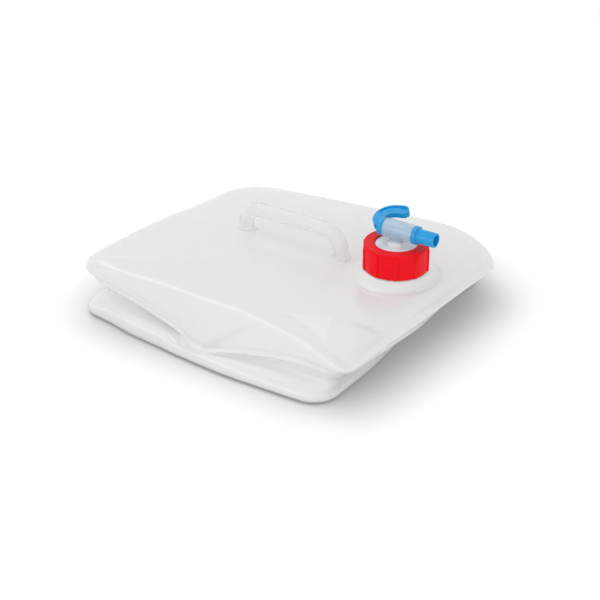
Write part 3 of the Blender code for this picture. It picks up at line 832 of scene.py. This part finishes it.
hub_length = 0.0046
hub_radius = 0.0074
hub_end_radius = 0.0010
collar_length = 0.0029
collar_radius = 0.0075
spout_radius = 0.0059
spout_bore_radius = 0.0045
spout_length = 0.0158
plug_radius = 0.0052
plug_bore_radius = 0.0034
plug_bore_end = -0.0060
turning_gap = 0.0003
lever_lean = math.radians(20.0)
lever_reach = 0.0260
lever_half_width = 0.0048
lever_thickness = 0.0048
lever_rim = 0.0015
lever_recess = 0.0009
recess_first = 7
tip_steps = 6
lever_path_shares = ((-0.60, 0.02), (-0.73, 0.13), (-0.78, 0.34), (-0.71, 0.53), (-0.59, 0.65),
                     (-0.45, 0.715), (-0.30, 0.762), (-0.19, 0.775))

hub_face = barrel_left - turning_gap
hub_end = hub_face - hub_length
collar_face = barrel_right + turning_gap
spout_foot = collar_face + collar_length
mouth = spout_foot + spout_length
stations = softened((
    (plug_bore_radius, plug_bore_end), (plug_bore_radius, collar_face), (spout_bore_radius, spout_foot),
    (spout_bore_radius, mouth), (spout_radius, mouth), (spout_radius, spout_foot),
    (collar_radius, spout_foot), (collar_radius, collar_face), (plug_radius, collar_face),
    (plug_radius, hub_face), (hub_radius, hub_face), (hub_radius, hub_end), (hub_end_radius, hub_end)),
    cut=0.0004)
spindle = turned_piece("tap_spindle_moulding", (0.0, 0.0), stations, barrel_sides, filled=True)
lay(spindle, barrel_place, along_barrel)


def smooth_path(points, steps, easings):
    """A smooth line close by level points, with its own ends, in steps between each two of them."""
    line = []
    for number in range(len(points) - 1):
        before, start = points[max(number - 1, 0)], points[number]
        end, after = points[number + 1], points[min(number + 2, len(points) - 1)]
        for step in range(steps):
            t = step / steps
            line.append(0.5 * (start * 2.0 + (end - before) * t
                               + (before * 2.0 - start * 5.0 + end * 4.0 - after) * t ** 2
                               + (start * 3.0 - before - end * 3.0 + after) * t ** 3))
    line.append(points[-1])
    for easing in range(easings):
        eased = [(before + here * 2.0 + after) / 4.0 for before, here, after in zip(line, line[1:], line[2:])]
        line = [line[0]] + eased + [line[-1]]
    return line


lever_path = smooth_path([Vector((x * lever_reach, y * lever_reach, 0.0)) for x, y in lever_path_shares],
                         steps=3, easings=3)
directions = [(lever_path[min(number + 1, len(lever_path) - 1)] - lever_path[max(number - 1, 0)]).normalized()
              for number in range(len(lever_path))]


def hooked_bar(name, half_width, thickness, middle_height, first):
    """A flat bar drawn along the lever's path from one of its points to a round end, level at one height."""
    bpy.ops.object.select_all(action="DESELECT")
    bpy.ops.mesh.primitive_plane_add(size=1.0)
    bar = bpy.context.object
    bar.name = name
    bar.scale = (2.0 * half_width, thickness, 1.0)
    bar.rotation_euler = (math.pi / 2.0, 0.0, 0.0)
    bpy.ops.object.transform_apply(location=False, rotation=True, scale=True)
    bar.rotation_euler = (0.0, 0.0, math.atan2(directions[first].y, directions[first].x) - math.pi / 2.0)
    bar.location = (lever_path[first].x, lever_path[first].y, middle_height)
    bpy.ops.object.transform_apply(location=True, rotation=True, scale=True)
    bpy.ops.object.mode_set(mode="EDIT")
    bpy.ops.mesh.select_all(action="SELECT")
    for number in range(first + 1, len(lever_path)):
        bpy.ops.mesh.extrude_region_move(
            TRANSFORM_OT_translate={"value": lever_path[number] - lever_path[number - 1]})
        turn = directions[number - 1].xy.angle_signed(directions[number].xy)
        bpy.ops.transform.rotate(value=turn, orient_axis="Z", center_override=lever_path[number])
    for step in range(1, tip_steps + 1):
        last_angle = math.pi / 2.0 * (step - 1) / (tip_steps + 0.5)
        angle = math.pi / 2.0 * step / (tip_steps + 0.5)
        forward = half_width * (math.sin(angle) - math.sin(last_angle))
        bpy.ops.mesh.extrude_region_move(TRANSFORM_OT_translate={"value": directions[-1] * forward})
        tip = lever_path[-1] + directions[-1] * half_width * math.sin(angle)
        narrowing = math.cos(angle) / math.cos(last_angle)
        bpy.ops.transform.resize(value=(1.0, narrowing, 1.0), center_override=tip)
    close_up()
    return bar


lever = hooked_bar("lever", lever_half_width, lever_thickness, 0.0, 0)
web_depth = lever_recess + 0.001
for side in (1.0, -1.0):
    web_height = side * (lever_thickness / 2.0 - lever_recess + web_depth / 2.0)
    merge_in(lever, hooked_bar("sunk_web", lever_half_width - lever_rim, web_depth, web_height, recess_first),
             "DIFFERENCE")
use_modifier(lever, "BEVEL", width=0.00030, segments=2, limit_method="ANGLE", angle_limit=math.radians(50.0))
lay(lever, barrel_place, (lever_lean, 0.0, 0.0))
merge_in(spindle, lever, "UNION")
stations = ((port_bore_radius, -barrel_radius), (port_bore_radius, 0.0))
window = turned_piece("plug_window", (neck_axis.x, 0.0), stations, 32, filled=True)
lay(window, (0.0, 0.0, barrel_height), (-math.pi / 2.0, 0.0, 0.0))
merge_in(spindle, window, "DIFFERENCE")
bpy.ops.object.shade_smooth_by_angle(angle=math.radians(35.0))

blue_shades = ((0.004, 0.345, 0.770), (0.010, 0.385, 0.810))
blue, nodes, links, shader = new_finish("blue_tap_plastic")
swirl = place_noise(nodes, links, 150.0)
links.new(mixed_colour(nodes, links, swirl, *blue_shades), shader.inputs["Base Color"])
links.new(ranged(nodes, links, swirl, 0.10, 0.16), shader.inputs["Roughness"])
add_bump(nodes, links, place_noise(nodes, links, 900.0), strength=0.08, distance=0.0001)
shader.inputs["IOR"].default_value = 1.50
shader.inputs["Specular IOR Level"].default_value = 0.40
spindle.data.materials.clear()
spindle.data.materials.append(blue)
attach(spindle, "spindle")
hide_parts("tap_spindle")


# Ring nut: a red cap with an open middle, moulded in one. Ten upright ribs give it grip, and the screw ridge
# inside it pulls the tap's flange down on the gasket.

ring_low, ring_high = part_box("ring_nut")
ring_foot = ring_low[2]
ring_top = ring_high[2]
ring_radius = 0.0263
ring_root_radius = 0.0219
ring_hole_radius = 0.01735
ring_top_thickness = 0.0026
ring_shoulder = 0.0010
edge_ease = 0.0004
rib_rise = 0.0011
rib_count = 10
rib_turn = math.radians(12.0)
rib_half_angle = math.radians(4.2)
rib_shoulder = 0.0026
rib_top = ring_top - rib_shoulder
notch_depth = 0.0005
notch_top = ring_top - 0.0011
ring_sides = 120


def pick_faces(piece, test):
    """Selects only the faces whose middle and normal pass a test, with the piece in edit mode."""
    bpy.ops.mesh.select_mode(type="FACE")
    bpy.ops.mesh.select_all(action="DESELECT")
    shape = bmesh.from_edit_mesh(piece.data)
    for face in shape.faces:
        face.select_set(test(face.calc_center_median(), face.normal))
    bmesh.update_edit_mesh(piece.data)


top_underside = ring_top - ring_top_thickness
stations = ((ring_root_radius, ring_foot), (ring_radius - edge_ease, ring_foot),
            (ring_radius, ring_foot + edge_ease), (ring_radius, rib_top),
            (ring_radius, ring_top - ring_shoulder), (ring_radius - 0.0003, ring_top - edge_ease),
            (ring_radius - ring_shoulder, ring_top), (ring_hole_radius + edge_ease, ring_top),
            (ring_hole_radius, ring_top - edge_ease), (ring_hole_radius, top_underside),
            (ring_root_radius, top_underside), (ring_root_radius, ring_foot))
ring = turned_piece("ring_nut_moulding", neck_axis, stations, ring_sides)
bpy.ops.object.mode_set(mode="EDIT")


def in_rib_line(middle, normal):
    angle = math.atan2(middle.y, middle.x - neck_axis.x) - rib_turn
    spacing = 2.0 * math.pi / rib_count
    apart = abs((angle + spacing / 2.0) % spacing - spacing / 2.0)
    reach = math.hypot(middle.x - neck_axis.x, middle.y)
    return apart < rib_half_angle and reach > ring_radius - 0.0003 and abs(normal.z) < 0.3


for rise, low, high in ((rib_rise, 0.0, rib_top), (-notch_depth, rib_top, notch_top)):
    pick_faces(ring, lambda middle, normal: in_rib_line(middle, normal) and low < middle.z < high)
    bpy.ops.mesh.extrude_region_move(TRANSFORM_OT_translate={"value": (0.0, 0.0, 0.0)})
    share = (ring_radius + rise) / ring_radius
    bpy.ops.transform.resize(value=(share, share, 1.0), center_override=(neck_axis.x, 0.0, 0.0))
bpy.ops.mesh.select_all(action="SELECT")
bpy.ops.mesh.normals_make_consistent(inside=False)
bpy.ops.object.mode_set(mode="OBJECT")
use_modifier(ring, "BEVEL", width=0.00022, segments=2, limit_method="ANGLE", angle_limit=math.radians(50.0))
thread = screw_ridge("ring_thread", neck_axis, ring_root_radius, neck_foot + thread_rise + thread_pitch / 2.0,
                     thread_turns - 0.5)
merge_in(ring, thread, "UNION")
bpy.ops.object.shade_smooth_by_angle(angle=math.radians(28.0))


def any_ray(nodes, links, *kinds):
    """1 for rays of any of these kinds, and 0 for all others."""
    path = nodes.new("ShaderNodeLightPath")
    found = path.outputs[kinds[0]]
    for kind in kinds[1:]:
        either = nodes.new("ShaderNodeMath")
        either.operation = "MAXIMUM"
        links.new(found, either.inputs[0])
        links.new(path.outputs[kind], either.inputs[1])
        found = either.outputs[0]
    return found


# The red is held back in bounced light, so that the ring tints the film beside it only faintly
red_shades = ((0.960, 0.001, 0.008), (1.000, 0.003, 0.012))
bounced_pink = (0.72, 0.52, 0.53)
red, nodes, links, shader = new_finish("red_ring_plastic")
swirl = place_noise(nodes, links, 110.0)
bounce = ranged(nodes, links, any_ray(nodes, links, "Is Diffuse Ray", "Is Glossy Ray"), 0.0, 0.68)
colour = mixed_colour(nodes, links, bounce, mixed_colour(nodes, links, swirl, *red_shades), bounced_pink)
links.new(colour, shader.inputs["Base Color"])
links.new(ranged(nodes, links, swirl, 0.34, 0.46), shader.inputs["Roughness"])
add_bump(nodes, links, place_noise(nodes, links, 900.0), strength=0.10, distance=0.0001)
shader.inputs["IOR"].default_value = 1.48
shader.inputs["Specular IOR Level"].default_value = 0.16
ring.data.materials.clear()
ring.data.materials.append(red)
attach(ring, "ring")
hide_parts("ring_nut")


# Floor, light and camera: a white studio floor with white all round, whose colour darkens near the bag in a
# painted contact shadow. A soft box stands at the left, a narrow strip lamp in front draws the lines of
# gloss, and a broad fill at the right softens the shadow.

floor_glow = 0.24
floor_white = (0.96, 0.96, 0.96)
# Grey, reach and sharpness of the painted contact shadow in the floor's colour
painted_shadow_grey = (0.05, 0.05, 0.05)
painted_shadow_reach = 0.06
painted_shadow_sharpness = 1.15
world_light = 0.72
seen_kinds = ("Is Camera Ray", "Is Glossy Ray", "Is Transmission Ray")

bpy.ops.object.select_all(action="DESELECT")
bpy.ops.mesh.primitive_plane_add(size=8.0, location=(0.0, 0.0, 0.0))
floor = bpy.context.object
floor.name = "floor"
white, nodes, links, shader = new_finish("white_floor")
shader.inputs["Roughness"].default_value = 1.0
shader.inputs["Specular IOR Level"].default_value = 0.0
shader.inputs["Emission Color"].default_value = (1.0, 1.0, 1.0, 1.0)
glow = nodes.new("ShaderNodeMath")
glow.operation = "MULTIPLY"
glow.inputs[1].default_value = floor_glow
links.new(any_ray(nodes, links, *seen_kinds), glow.inputs[0])
links.new(glow.outputs[0], shader.inputs["Emission Strength"])
# Painted contact shadow: the floor's colour darkens towards grey by ambient occlusion near the bag
painted_shadow_occlusion = nodes.new("ShaderNodeAmbientOcclusion")
painted_shadow_occlusion.inputs["Distance"].default_value = painted_shadow_reach
painted_shadow_depth = nodes.new("ShaderNodeMath")
painted_shadow_depth.operation = "POWER"
painted_shadow_depth.inputs[1].default_value = painted_shadow_sharpness
links.new(painted_shadow_occlusion.outputs["AO"], painted_shadow_depth.inputs[0])
links.new(mixed_colour(nodes, links, painted_shadow_depth.outputs[0], painted_shadow_grey, floor_white),
          shader.inputs["Base Color"])
floor.data.materials.append(white)

world = bpy.data.worlds.new("white_studio")
bpy.context.scene.world = world
world.use_nodes = True
nodes, links = world.node_tree.nodes, world.node_tree.links
background = nodes["Background"]
background.inputs["Color"].default_value = (1.0, 1.0, 1.0, 1.0)
strength = ranged(nodes, links, any_ray(nodes, links, *seen_kinds), world_light, 1.0)
links.new(strength, background.inputs["Strength"])


def soft_lamp(name, place, target, width, height, power):
    data = bpy.data.lights.new(name, "AREA")
    data.shape = "RECTANGLE"
    data.size = width
    data.size_y = height
    data.energy = power
    lamp = bpy.data.objects.new(name, data)
    bpy.context.scene.collection.objects.link(lamp)
    lamp.location = place
    lamp.rotation_euler = (Vector(target) - Vector(place)).to_track_quat("-Z", "Y").to_euler()


soft_lamp("key_softbox", (-0.85, 0.10, 1.25), (0.0, 0.0, 0.0), width=0.90, height=0.90, power=2.8)
soft_lamp("front_strip", (-0.44, -1.30, 0.52), (0.0, 0.0, 0.05), width=0.72, height=0.10, power=1.4)
soft_lamp("right_fill", (1.15, -1.15, 0.70), (0.0, 0.0, 0.03), width=1.0, height=1.0, power=3.1)

camera_data = bpy.data.cameras.new("camera")
camera_data.sensor_width = 36.0
camera_data.lens = 84.0
camera = bpy.data.objects.new("camera", camera_data)
bpy.context.scene.collection.objects.link(camera)
camera.location = (0.5835, -0.8695, 0.5650)
camera.rotation_euler = (math.radians(61.37), 0.0, math.radians(33.91))
bpy.context.scene.camera = camera
bpy.context.scene.view_settings.view_transform = "Standard"
